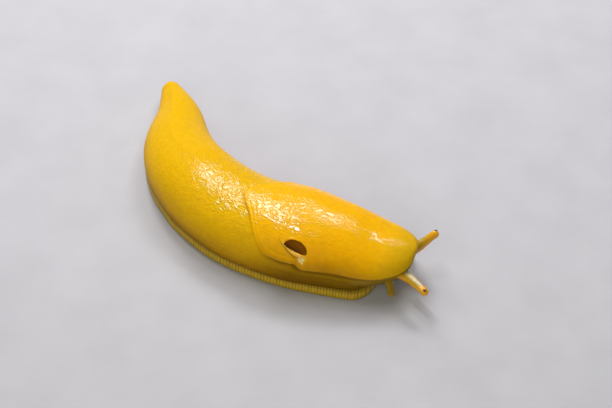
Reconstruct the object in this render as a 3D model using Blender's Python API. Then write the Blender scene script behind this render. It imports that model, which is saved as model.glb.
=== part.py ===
"""A banana slug at life size, resting on its sole with its tail swung to its left.

The body is lofted along one curved spine. The foot, the trunk above it and the
mantle that saddles the trunk are separate lofts that meet across a thin gap, and
the head, stalks and feelers grow forwards from under the mantle's hood.
"""

import math

import bmesh
import bpy
import numpy as np
from mathutils import Matrix, Vector

MM = 0.001
GAP = 0.30 * MM

# The spine runs on the floor, from the tip of the tail to the front of the hood
BODY_LENGTH = 121 * MM
TAIL_TIP = (-51.89 * MM, 31.96 * MM)
HEADINGS = (
    (0.0, -52),
    (0.08, -53),
    (0.18, -67),
    (0.32, -49),
    (0.48, -25),
    (0.71, 0),
    (1.0, 4),
)

# Share of the spine, half width, height of the back, and how peaked the back is
STATIONS = (
    (0.00, 2.2, 6.6, 1.8),
    (0.08, 5.0, 8.9, 1.7),
    (0.18, 8.2, 11.8, 1.65),
    (0.29, 11.0, 14.9, 1.75),
    (0.42, 12.6, 17.6, 2.0),
    (0.575, 14.1, 17.5, 2.1),
    (0.71, 14.4, 18.7, 2.2),
    (0.845, 12.3, 16.9, 2.2),
    (0.93, 11.2, 14.3, 2.2),
    (1.00, 10.4, 14.3, 2.1),
)
TAIL_ROUND = 0.024  # share over which the tip of the tail rounds off
WIDEST_AT = 0.31  # how far up from fringe to back the flank is widest

# The foot: a flat sole with an upright fringe, and a groove above it
FRINGE_HEIGHT = 2.9 * MM
SOLE_SHARE = 0.97  # width of the sole over the body's
SOLE_SHARES = ((0.0, SOLE_SHARE), (0.7, SOLE_SHARE), (0.88, 1.03), (1.0, 1.03))
FOOT_FRONT = 0.922  # share of the spine where the foot ends
FOOT_ROUND = 0.055  # share over which its front rounds off
GROOVE_DEPTH = 0.6 * MM
RIDGE_PITCH = 2.2 * MM
RIDGE_DEPTH = 0.35 * MM

# The mantle: a saddle with a raised lip, drawn out in front into a hood. Its
# margin is (share of the spine, degrees round the section from its widest line)
MANTLE_MARGIN = (
    (0.577, 86),
    (0.590, 76),
    (0.612, 63),
    (0.635, 45),
    (0.653, 29),
    (0.673, 17.5),
    (0.692, 13.5),
    (0.715, 11.5),
    (0.80, 11.5),
    (0.87, 12.0),
    (0.93, 14.0),
    (1.0, 18),
)
MANTLE_REAR = MANTLE_MARGIN[0][0]
HOOD_ROUND = 0.15  # share of the spine over which the hood's front rounds off
HOOD_POWER = 2.8  # how blunt that rounding is
HOOD_CENTRE = 12.7 * MM
LIP = 0.7 * MM

# Where the trunk is parted across
TAIL_JOIN = 0.24
TORSO_JOIN = 0.655
NECK_JOIN = 0.80
HEAD_JOIN = 0.885
HEAD_TIP = 0.985
FOOT_JOINS = (0.31, 0.62)
TRUNK_POINTS = 13  # points up each side of the trunk's section

# How far the neck and the head draw in under the hood, as a share of the body
NARROWING = ((0.78, 1.0), (0.86, 0.99), (0.90, 0.92), (0.945, 0.70), (0.985, 0.44))
HEAD_UNDERSIDE = ((0.885, 2.9), (0.93, 3.0), (0.96, 3.7), (0.985, 5.2))

MOUTH = (0.974, 5.0)  # share of the spine and height in mm
LIP_SIZE = (1.4, 1.1, 1.6)  # half length, width and height of each lip, in mm
TAIL_PIT = (0.006, 0, 5.9, 0.9)  # share, right, up and radius of the mucus pit

# Stalks and feelers: (share of the spine, to the right, up) in mm, then radii
STALK_RIGHT = ((0.950, 3.2, 7.2), (0.984, 5.2, 7.9), (1.009, 7.2, 8.4), (1.042, 9.8, 8.1))
STALK_LEFT = ((0.950, -3.2, 7.2), (0.980, -5.0, 7.8), (1.001, -7.0, 9.5), (1.022, -8.9, 11.7))
STALK_RADII = (1.8, 1.6, 1.35, 1.0)
FEELER_RIGHT = ((0.935, 4.2, 6.0), (0.952, 6.5, 5.2), (0.965, 8.6, 3.2))
FEELER_LEFT = tuple((at, -right, up) for at, right, up in FEELER_RIGHT)
FEELER_RADII = (1.7, 1.45, 1.15)
BULB = 1.25 * MM
FEELER_TIP = 1.25 * MM
EYE = 0.42 * MM
EYE_SET = (0.15, 0.38, 0.90)  # ahead, outward and up from the bulb's middle, in mm
TUBE_STEPS = 14

# The breathing hole, from its rear to its front end, then its height, its depth
# and the slope of the flank it opens in, and the cleft from it to the margin
HOLE_ENDS = ((0.723, 12.1, 15.7), (0.774, 12.8, 14.3))
HOLE_HEIGHT = 2.4 * MM
HOLE_DEPTH = 3.2 * MM
HOLE_SLOPE = 48
HOLE_FLATNESS = 0.3  # its lower half's height over its upper half's
CLEFT = ((0.747, 13.4, 14.4), (0.753, 15.0, 10.2))
CLEFT_RADIUS = 0.5


def curve_through(pairs, at):
    """Values at the shares `at` on a smooth curve through (share, value) pairs."""
    x, y = np.array(pairs, float).T
    slope = np.gradient(y, x)
    secant = np.diff(y) / np.diff(x)
    for i, k in enumerate(secant):
        if k == 0:
            slope[i] = slope[i + 1] = 0
    flat = np.concatenate([[False], secant[1:] * secant[:-1] <= 0, [False]])
    slope[flat] = 0
    at = np.clip(np.asarray(at, float), x[0], x[-1])
    i = np.clip(np.searchsorted(x, at, side="right") - 1, 0, len(x) - 2)
    h = x[i + 1] - x[i]
    t = (at - x[i]) / h
    return (
        (1 + 2 * t) * (1 - t) ** 2 * y[i]
        + t * (1 - t) ** 2 * h * slope[i]
        + t * t * (3 - 2 * t) * y[i + 1]
        + t * t * (t - 1) * h * slope[i + 1]
    )


def station(column, at):
    """One column of STATIONS at the shares `at`."""
    return curve_through([(row[0], row[column]) for row in STATIONS], at)


def tail_round(at):
    """0 at the tip of the tail, rising as a quarter ellipse to 1."""
    t = np.clip(1 - np.asarray(at) / TAIL_ROUND, 0, 1)
    return np.sqrt(1 - 0.96 * t * t)


def half_width(at):
    return station(1, at) * MM * tail_round(at)


def back_height(at):
    return FRINGE_HEIGHT + (station(2, at) * MM - FRINGE_HEIGHT) * tail_round(at)


def widest_height(at):
    return FRINGE_HEIGHT + WIDEST_AT * (back_height(at) - FRINGE_HEIGHT)


def spine(at):
    """Points of the spine and its unit directions at the shares `at`."""
    fine = np.linspace(0, 1, 600)
    heading = np.radians(curve_through(HEADINGS, fine))
    step = BODY_LENGTH / (len(fine) - 1)
    path = np.stack([np.cos(heading), np.sin(heading)], 1)
    middle = (path[1:] + path[:-1]) / 2 * step
    points = np.concatenate([[(0, 0)], np.cumsum(middle, axis=0)]) + TAIL_TIP
    heading = np.interp(at, fine, heading)
    ahead = np.stack([np.cos(heading), np.sin(heading)], -1)
    place = np.stack([np.interp(at, fine, points[:, i]) for i in (0, 1)], -1)
    beyond = np.maximum(np.asarray(at) - 1, 0) * BODY_LENGTH
    return place + beyond[:, None] * ahead, ahead


def on_spine(at, right, up):
    """World point at a share of the spine, and mm to its right and up."""
    place, ahead = spine(np.array([at]))
    x, y = place[0] + right * MM * np.array([ahead[0][1], -ahead[0][0]])
    return Vector((x, y, up * MM))


def nose(at, end, length, power=2.4):
    """1 along the body, falling as a quarter ellipse to 0 at `end`."""
    t = np.clip((np.asarray(at) - (end - length)) / length, 0, 1)
    return (1 - t**power) ** (1 / power)


def sole_width(at):
    share = curve_through(SOLE_SHARES, at)
    return share * half_width(at) * np.maximum(nose(at, FOOT_FRONT, FOOT_ROUND), 0.06)


def round_section(at, angle, grow=0.0, narrow=1.0):
    """Point of the section at an angle up from its widest line, in radians."""
    wide, tall = half_width(at) * narrow + grow, back_height(at) + grow
    middle, power = widest_height(at), 2 / station(3, at)
    out = wide * math.cos(angle) ** power
    up = middle + (tall - middle) * math.sin(angle) ** power
    return out, up


def margin_angle(at):
    return math.radians(float(curve_through(MANTLE_MARGIN, at)))


def into_hood(side, at):
    """Draws a half section in towards the hood's middle as the hood rounds off."""
    closing = nose(at, 1.0, HOOD_ROUND, HOOD_POWER)
    side = np.array(side)
    up = HOOD_CENTRE + (side[:, 1] - HOOD_CENTRE) * closing**0.8
    return np.column_stack([side[:, 0] * closing, up])


def margin_height(at):
    return into_hood([round_section(at, margin_angle(at))], at)[0][1]


def flank(at, top, count, narrow=1.0):
    """One side of the trunk's section from the fringe to a height: (count, 2)."""
    middle, wide = widest_height(at), half_width(at) * narrow
    groove = SOLE_SHARE * wide - GROOVE_DEPTH * tail_round(at)
    share = min(max((top - middle) / (back_height(at) - middle), 0), 1)
    last = math.asin(share ** (station(3, at) / 2))
    side = []
    for angle in np.linspace(-math.pi / 2, last, count):
        if angle > 0:
            side.append(round_section(at, angle, narrow=narrow))
        else:
            out = groove + (wide - groove) * math.cos(angle)
            side.append((out, middle + (middle - FRINGE_HEIGHT) * math.sin(angle)))
    return np.array(side)


def ring(at, right_side):
    """Closed ring of world points from one side of a section and its mirror."""
    place, ahead = spine(np.array([at]))
    rightward = np.array([ahead[0][1], -ahead[0][0]])
    both = np.concatenate([right_side, right_side[::-1] * (-1, 1)])
    flat = place[0] + both[:, :1] * rightward
    return np.column_stack([flat, both[:, 1]])


def loft(name, rings, colour, roughness=0.25):
    """Closed object through rings that all have the same number of points."""
    mesh = bmesh.new()
    rows = [[mesh.verts.new(point) for point in points] for points in rings]
    for near, far in zip(rows, rows[1:]):
        for i in range(len(near)):
            j = (i + 1) % len(near)
            mesh.faces.new((near[i], near[j], far[j], far[i]))
    mesh.faces.new(rows[0])
    mesh.faces.new(rows[-1])
    return finish(name, mesh, colour, roughness)


def finish(name, mesh, colour, roughness=0.25):
    """Object from a bmesh, its faces turned outwards, in the slug's collection."""
    bmesh.ops.remove_doubles(mesh, verts=mesh.verts, dist=1e-6)
    bmesh.ops.triangulate(mesh, faces=mesh.faces)
    bmesh.ops.recalc_face_normals(mesh, faces=mesh.faces)
    data = bpy.data.meshes.new(name)
    mesh.to_mesh(data)
    mesh.free()
    data.shade_smooth()
    data.set_sharp_from_angle(angle=math.radians(50))
    data.materials.append(skin(name, colour, roughness))
    made = bpy.data.objects.new(name, data)
    bpy.data.collections["banana_slug"].objects.link(made)
    return made


def skin(name, colour, roughness):
    material = bpy.data.materials.new(name)
    material.use_nodes = True
    shader = material.node_tree.nodes["Principled BSDF"]
    shader.inputs["Base Color"].default_value = (*colour, 1)
    shader.inputs["Roughness"].default_value = roughness
    return material


YELLOW = (0.80, 0.47, 0.02)
AMBER = (0.84, 0.46, 0.01)
OLIVE = (0.42, 0.33, 0.05)
PALE = (0.52, 0.42, 0.10)
BLACK = (0.01, 0.01, 0.01)


def foot(name, start, end):
    """A length of the foot, with upright ridges along its fringe."""
    steps = round((end - start) * BODY_LENGTH / (RIDGE_PITCH / 2))
    rings = []
    for i, at in enumerate(np.linspace(start, end, steps + 1)):
        edge = float(sole_width(at))
        out = edge + RIDGE_DEPTH * (i % 2) * float(tail_round(at))
        side = [
            (edge * 0.5, 0),
            (edge * 0.96, 0),
            (out, 0.18 * FRINGE_HEIGHT),
            (out, 0.72 * FRINGE_HEIGHT),
            (edge * 0.97, FRINGE_HEIGHT - GAP),
        ]
        rings.append(ring(at, np.array(side)))
    return loft(name, rings, PALE)


def trunk(name, start, end, steps, colour=YELLOW):
    """A length of the trunk over the foot, cut level where the mantle covers it."""
    cut = GAP / BODY_LENGTH
    shares = list(np.linspace(start, end, steps + 1))
    if start < MANTLE_REAR < end:
        shares = sorted(shares + [MANTLE_REAR - cut, MANTLE_REAR - cut + 1e-4])
    rings = []
    for at in shares:
        top = float(back_height(at))
        if at > MANTLE_REAR - cut:
            top = margin_height(min(at + cut, 1)) - GAP
        narrow = float(curve_through(NARROWING, at))
        rings.append(ring(at, flank(at, top, TRUNK_POINTS, narrow)))
    return loft(name, rings, colour)


def mantle():
    """The mantle and its hood, one solid with a level underside inside its lip."""
    rear = np.linspace(MANTLE_REAR, 0.72, 18)
    middle = np.linspace(0.72, 0.90, 12)[1:]
    front = 1 - 0.1 * (1 - np.linspace(0, 1, 14)[1:]) ** 1.8 - 0.0015
    rings = []
    for at in np.concatenate([rear, middle, front]):
        start = margin_angle(at)
        side = [round_section(at, start)]
        for angle in np.linspace(start, math.pi / 2, 12):
            side.append(round_section(at, angle, LIP))
        rings.append(ring(at, into_hood(side, at)))
    return loft("mantle", rings, AMBER)


def head(name="head", grow=0.0):
    """The head under the hood, from where the neck ends to its blunt front."""
    start = HEAD_JOIN + (GAP / BODY_LENGTH if not grow else -0.01)
    rings = []
    for share in np.linspace(0, 1, 13):
        at = start + (HEAD_TIP - start) * (1 - (1 - share) ** 1.4)
        tip = max(nose(at, HEAD_TIP + 0.0015, 0.035), 0.12)
        low = float(curve_through(HEAD_UNDERSIDE, at)) * MM
        high = margin_height(at) - GAP
        middle, half = (low + high) / 2, (high - low) / 2 * tip + grow
        wide = float(half_width(at) * curve_through(NARROWING, at)) * tip + grow
        angles = np.linspace(-math.pi / 2, math.pi / 2, 13)
        out = wide * np.maximum(np.cos(angles), 0) ** 0.75
        up = middle + half * np.sign(np.sin(angles)) * np.abs(np.sin(angles)) ** 0.75
        rings.append(ring(at, np.column_stack([out, up])))
    return loft(name, rings, OLIVE)


def ball(name, centre, size, colour=BLACK, turn=None, flatness=1.0):
    """An ellipsoid, whose lower half may be flatter than its upper half."""
    mesh = bmesh.new()
    bmesh.ops.create_uvsphere(mesh, u_segments=16, v_segments=10, radius=1)
    for vert in mesh.verts:
        vert.co.z *= flatness if vert.co.z < 0 else 1
        vert.co *= Vector(size)
    if turn is not None:
        bmesh.ops.transform(mesh, matrix=turn.to_4x4(), verts=mesh.verts)
    bmesh.ops.translate(mesh, vec=centre, verts=mesh.verts)
    return finish(name, mesh, colour)


def tube(name, waypoints, radii, colour):
    """A tapered, smoothly bent tube through (share, right, up) waypoints."""
    along = np.linspace(0, 1, len(waypoints))
    shares = np.linspace(0, 1, TUBE_STEPS)
    places = np.array([on_spine(*point) for point in waypoints])
    path = [curve_through(np.column_stack([along, places[:, i]]), shares) for i in range(3)]
    radius = curve_through(np.column_stack([along, radii]), shares)
    line = bpy.data.curves.new(name, "CURVE")
    line.dimensions, line.use_fill_caps = "3D", True
    line.bevel_depth, line.bevel_resolution = MM, 3
    spline = line.splines.new("POLY")
    spline.points.add(TUBE_STEPS - 1)
    for point, place, wide in zip(spline.points, np.column_stack(path), radius):
        point.co, point.radius = (*place, 1), wide
    drawn = bpy.data.objects.new(name, line)
    bpy.context.scene.collection.objects.link(drawn)
    bpy.context.view_layer.update()
    graph = bpy.context.evaluated_depsgraph_get()
    data = bpy.data.meshes.new_from_object(drawn.evaluated_get(graph))
    bpy.data.objects.remove(drawn)
    mesh = bmesh.new()
    mesh.from_mesh(data)
    return finish(name, mesh, colour)


def largest_surface(mesh):
    """Deletes all but the largest closed surface of a bmesh."""
    left, pieces = set(mesh.verts), []
    while left:
        piece, edge = set(), {left.pop()}
        while edge:
            vert = edge.pop()
            piece.add(vert)
            edge |= {link.other_vert(vert) for link in vert.link_edges} - piece
        left -= piece
        pieces.append(piece)
    for piece in sorted(pieces, key=len)[:-1]:
        bmesh.ops.delete(mesh, geom=list(piece), context="VERTS")


def carve(target, tool, operation="DIFFERENCE"):
    """Applies a Boolean and removes its tool. The solver copes with thin margins."""
    modifier = target.modifiers.new("carve", "BOOLEAN")
    modifier.object, modifier.operation, modifier.solver = tool, operation, "MANIFOLD"
    bpy.context.view_layer.update()
    graph = bpy.context.evaluated_depsgraph_get()
    data = bpy.data.meshes.new_from_object(target.evaluated_get(graph))
    target.modifiers.clear()
    mesh = bmesh.new()
    mesh.from_mesh(data)
    largest_surface(mesh)
    mesh.to_mesh(data)
    mesh.free()
    target.data = data
    bpy.data.objects.remove(tool)


def breathing_hole(body):
    """Half-moon pocket in the mantle's right side, and the cleft to the margin."""
    rear, front = (on_spine(*end) for end in HOLE_ENDS)
    along = (front - rear).normalized()
    _, ahead = spine(np.array([HOLE_ENDS[0][0]]))
    slope = math.radians(HOLE_SLOPE)
    rightward = Vector((ahead[0][1], -ahead[0][0], 0))
    outward = rightward * math.cos(slope) + Vector((0, 0, math.sin(slope)))
    upward = outward.cross(along).normalized()
    outward = along.cross(upward)
    if upward.z < 0:
        along, upward = -along, -upward
    turn = Matrix((along, outward, upward)).transposed()
    size = ((front - rear).length / 2, HOLE_DEPTH, HOLE_HEIGHT)
    carve(body, ball("hole", (rear + front) / 2, size, turn=turn, flatness=HOLE_FLATNESS))
    carve(body, tube("cleft", CLEFT, (CLEFT_RADIUS, CLEFT_RADIUS), BLACK))


def mouth(face):
    """Two lips at the head's front with the slit of the mouth between them."""
    for side in (-1, 1):
        lip = on_spine(MOUTH[0], side * LIP_SIZE[0] * 0.85, MOUTH[1])
        carve(face, ball("lip", lip, np.array(LIP_SIZE) * MM), "UNION")
    slit = on_spine(MOUTH[0] + 0.014, 0, MOUTH[1])
    carve(face, ball("slit", slit, (LIP_SIZE[0] * MM, 0.35 * MM, LIP_SIZE[2] * 0.8 * MM)))


def tentacles(side, stalk_path, feeler_path):
    """The eyestalk with its eye, and the feeler under it, on one side."""
    stalk = tube(f"eyestalk_{side}", stalk_path, STALK_RADII, PALE)
    at, right, up = stalk_path[-1]
    carve(stalk, ball("bulb", on_spine(at, right, up), (BULB, BULB, BULB)), "UNION")
    carve(stalk, head("clearance", GAP))
    forward, outward, upward = EYE_SET
    aside = right + math.copysign(outward, right)
    eye = on_spine(at + forward * MM / BODY_LENGTH, aside, up + upward)
    room = EYE + GAP
    carve(stalk, ball("socket", eye, (room, room, room)))
    ball(f"eye_{side}", eye, (EYE, EYE, EYE))
    feeler = tube(f"feeler_{side}", feeler_path, FEELER_RADII, OLIVE)
    end = on_spine(*feeler_path[-1])
    carve(feeler, ball("end", end, (FEELER_TIP, FEELER_TIP, FEELER_TIP)), "UNION")
    carve(feeler, head("clearance", GAP))


def main():
    for old in list(bpy.data.objects):
        bpy.data.objects.remove(old)
    home = bpy.data.collections.new("banana_slug")
    bpy.context.scene.collection.children.link(home)
    cut = GAP / BODY_LENGTH

    foot("foot_rear", 0.0, FOOT_JOINS[0] - cut)
    foot("foot_middle", FOOT_JOINS[0], FOOT_JOINS[1])
    foot("foot_front", FOOT_JOINS[1] + cut, FOOT_FRONT)

    tail = trunk("tail", 0.0, TAIL_JOIN - cut, 16)
    carve(tail, ball("pit", on_spine(*TAIL_PIT[:3]), (TAIL_PIT[3] * MM,) * 3))
    trunk("torso_rear", TAIL_JOIN, TORSO_JOIN, 24)
    trunk("torso_front", TORSO_JOIN + cut, NECK_JOIN, 8)
    trunk("neck", NECK_JOIN + cut, HEAD_JOIN, 6, OLIVE)
    breathing_hole(mantle())
    mouth(head())
    tentacles("right", STALK_RIGHT, FEELER_RIGHT)
    tentacles("left", STALK_LEFT, FEELER_LEFT)


main()
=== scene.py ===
"""Looks of a life-size banana slug that rests on its sole with its tail swung aside.

The animal has one wet skin. Its trunk, foot, mantle, head and tentacles are closed
surfaces worked out on grids along one curved spine, furrowed and grained as whole
arrays, and joined by a Boolean union into a single closed mesh, so that no seam
shows. The colours follow from where a point lies on the body, and hold painted shade
low on the flanks, under the mantle and the hood, in creases and hollows, and a
painted highlight on the eyestalks. The eyes are separate.

Shapes are worked out in millimetres, and put into the meshes in metres. A place on
the body is a share of the spine, from the tail's tip at 0 to the hood's front at 1,
and an angle round the section: 0 at the widest line of the right flank, 90 degrees
at the keel, and on to 180 degrees at the widest line of the left flank.
"""

from __future__ import annotations

import logging
import math
from dataclasses import dataclass
from enum import Enum

import bpy
import numpy as np
from mathutils import Matrix, Vector

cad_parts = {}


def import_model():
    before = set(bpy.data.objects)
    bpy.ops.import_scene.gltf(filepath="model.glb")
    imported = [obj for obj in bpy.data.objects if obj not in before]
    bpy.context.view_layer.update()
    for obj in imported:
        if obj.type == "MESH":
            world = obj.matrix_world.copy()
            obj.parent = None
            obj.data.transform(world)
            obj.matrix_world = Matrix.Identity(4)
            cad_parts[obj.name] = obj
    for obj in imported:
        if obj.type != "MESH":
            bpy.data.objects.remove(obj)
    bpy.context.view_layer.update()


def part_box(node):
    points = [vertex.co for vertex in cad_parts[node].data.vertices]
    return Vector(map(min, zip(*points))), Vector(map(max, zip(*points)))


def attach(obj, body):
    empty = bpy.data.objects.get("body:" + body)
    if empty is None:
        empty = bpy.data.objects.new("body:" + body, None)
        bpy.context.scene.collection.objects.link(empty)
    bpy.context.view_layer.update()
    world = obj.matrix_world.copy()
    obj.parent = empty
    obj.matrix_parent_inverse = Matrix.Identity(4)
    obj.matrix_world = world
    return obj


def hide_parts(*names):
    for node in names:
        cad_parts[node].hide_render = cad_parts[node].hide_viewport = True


LOG = logging.getLogger("banana_slug")

MM = 0.001
FAR = 1e9  # a distance that any other is under
TABLE = 97  # rows and columns of a table of random numbers, which then repeats
SIDES = ("right", "left")
SKIN_STRENGTHS = ("furrowed", "grained", "wet", "veined")
FLESH_NODES = (
    "tail", "torso_rear", "torso_front", "neck", "head", "mantle",
    "foot_rear", "foot_middle", "foot_front",
    "eyestalk_right", "eyestalk_left", "feeler_right", "feeler_left",
)

Array = np.ndarray
Pairs = tuple[tuple[float, float], ...]
Point = tuple[float, float, float]
Colour = tuple[float, float, float]
Waypoints = tuple[Point, ...]


def curve_through(pairs: Pairs | Array, at: Array | float) -> Array:
    """Smooth curve through (place, value) pairs: a cubic Hermite between neighbours.

    Args:
        pairs: places in rising order, each with its value.
        at: the places to read, held within the first and the last.

    Returns:
        The values at those places. The slope is level at a peak or a dip.
    """
    x, y = np.array(pairs, float).T
    slope = np.gradient(y, x)
    secant = np.diff(y) / np.diff(x)
    level = secant == 0
    slope[:-1][level] = 0
    slope[1:][level] = 0
    slope[1:-1][secant[1:] * secant[:-1] <= 0] = 0
    at = np.clip(np.asarray(at, float), x[0], x[-1])
    i = np.clip(np.searchsorted(x, at, side="right") - 1, 0, len(x) - 2)
    h = x[i + 1] - x[i]
    t = (at - x[i]) / h
    return (
        (1 + 2 * t) * (1 - t) ** 2 * y[i]
        + t * (1 - t) ** 2 * h * slope[i]
        + t * t * (3 - 2 * t) * y[i + 1]
        + t * t * (t - 1) * h * slope[i + 1]
    )


def ease(low: float, high: float, at: Array | float) -> Array:
    """0 below `low`, 1 above `high`, and 3t^2 - 2t^3 between.

    Args:
        low: where the rise starts.
        high: where it ends. A high below low makes a fall.
        at: the values to ease.

    Returns:
        The eased values.
    """
    t = np.clip((np.asarray(at, float) - low) / (high - low), 0, 1)
    return t * t * (3 - 2 * t)


def hill(at: Array, centre: float | Array, width: float) -> Array:
    """Bell curve exp(-((at - centre) / width)^2)."""
    return np.exp(-(((at - centre) / width) ** 2))


def soft_noise(u: Array, v: Array, seed: int) -> Array:
    """Value noise: eased blend of seeded random numbers at whole (u, v) places.

    Args:
        u: first coordinate, in cells.
        v: second coordinate, in cells.
        seed: which table of random numbers.

    Returns:
        Values between -1 and 1.
    """
    table = np.random.default_rng(seed).uniform(-1, 1, (TABLE, TABLE))
    iu, iv = np.floor(u).astype(int), np.floor(v).astype(int)
    fu, fv = ease(0, 1, u - iu), ease(0, 1, v - iv)
    corner = [table[(iu + a) % TABLE, (iv + b) % TABLE] for a in (0, 1) for b in (0, 1)]
    return (corner[0] * (1 - fv) + corner[1] * fv) * (1 - fu) + (
        corner[2] * (1 - fv) + corner[3] * fv
    ) * fu


def cell_distances(u: Array, v: Array, seed: int, jitter: float = 0.8) -> tuple[Array, Array]:
    """Distances to the nearest and second nearest seeded cell centres.

    One centre lies in each whole (u, v) square, moved at random from its middle by
    up to half of `jitter`.

    Args:
        u: first coordinate, in cells.
        v: second coordinate, in cells.
        seed: which table of random numbers.
        jitter: how far the centres stray.

    Returns:
        The nearest and the second nearest distance, in cells.
    """
    stray = np.random.default_rng(seed).uniform(-0.5, 0.5, (TABLE, TABLE, 2)) * jitter
    iu, iv = np.floor(u).astype(int), np.floor(v).astype(int)
    found = []
    for a in (-1, 0, 1):
        for b in (-1, 0, 1):
            move = stray[(iu + a) % TABLE, (iv + b) % TABLE]
            du = iu + a + 0.5 + move[..., 0] - u
            dv = iv + b + 0.5 + move[..., 1] - v
            found.append(np.hypot(du, dv))
    nearest = np.partition(np.stack(found), 1, axis=0)
    return nearest[0], nearest[1]


def grid_normals(rings: Array) -> Array:
    """Outward unit normals of rings that run round and along a body.

    The normal is the cross product of the steps along and around, turned away from
    the middle of its ring.

    Args:
        rings: points of shape (rows, around, 3).

    Returns:
        Normals of the same shape.
    """
    along = np.gradient(rings, axis=0)
    around = np.roll(rings, -1, axis=1) - np.roll(rings, 1, axis=1)
    normal = np.cross(around, along)
    normal /= np.linalg.norm(normal, axis=2, keepdims=True) + 1e-12
    outward = rings - rings.mean(axis=1, keepdims=True)
    sign = np.sign((normal * outward).sum(axis=2).sum())
    return normal * sign


class Zone(Enum):
    """What a stretch of the skin is, kept as the material index while joining."""

    TRUNK = 0
    MANTLE = 1
    FOOT = 2
    HEAD = 3
    STALK = 4
    FEELER = 5
    POCKET = 6
    PIT = 7


@dataclass(frozen=True)
class Shell:
    """A closed surface: rings in millimetres, capped by a point at either end."""

    name: str
    rings: Array
    zone: Zone

    def build(self) -> bpy.types.Object:
        """Puts the rings into a mesh of quads, with a fan of triangles at each end.

        Returns:
            The object, at the origin, with its faces pointing outwards.
        """
        rows, around, _ = self.rings.shape
        points = self.rings.reshape(-1, 3)
        ends = np.stack([self.rings[0].mean(axis=0), self.rings[-1].mean(axis=0)])
        verts = np.concatenate([points, ends]) * MM
        i = np.arange(around)
        j = (i + 1) % around
        start = (np.arange(rows - 1) * around)[:, None]
        quads = np.stack(
            [start + i, start + j, start + around + j, start + around + i], axis=-1
        ).reshape(-1, 4)
        first = np.stack([j, i, np.full(around, rows * around)], axis=-1)
        base = (rows - 1) * around
        last = np.stack([base + i, base + j, np.full(around, rows * around + 1)], axis=-1)
        corners = verts[quads]
        volume = np.einsum("ij,ij->", corners[:, 0], np.cross(corners[:, 1], corners[:, 2]))
        volume += np.einsum("ij,ij->", corners[:, 0], np.cross(corners[:, 2], corners[:, 3]))
        faces = quads.tolist() + first.tolist() + last.tolist()
        if volume < 0:
            faces = [face[::-1] for face in faces]
        mesh = bpy.data.meshes.new(self.name)
        mesh.from_pydata(verts.tolist(), [], faces)
        for zone in Zone:
            mesh.materials.append(zone_material(zone))
        mesh.polygons.foreach_set("material_index", [self.zone.value] * len(faces))
        mesh.update()
        made = bpy.data.objects.new(self.name, mesh)
        bpy.context.scene.collection.objects.link(made)
        return made


def zone_material(zone: Zone) -> bpy.types.Material:
    """Bare material that marks a zone until the skin gets its finish."""
    name = f"zone_{zone.name.lower()}"
    return bpy.data.materials.get(name) or bpy.data.materials.new(name)


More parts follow.
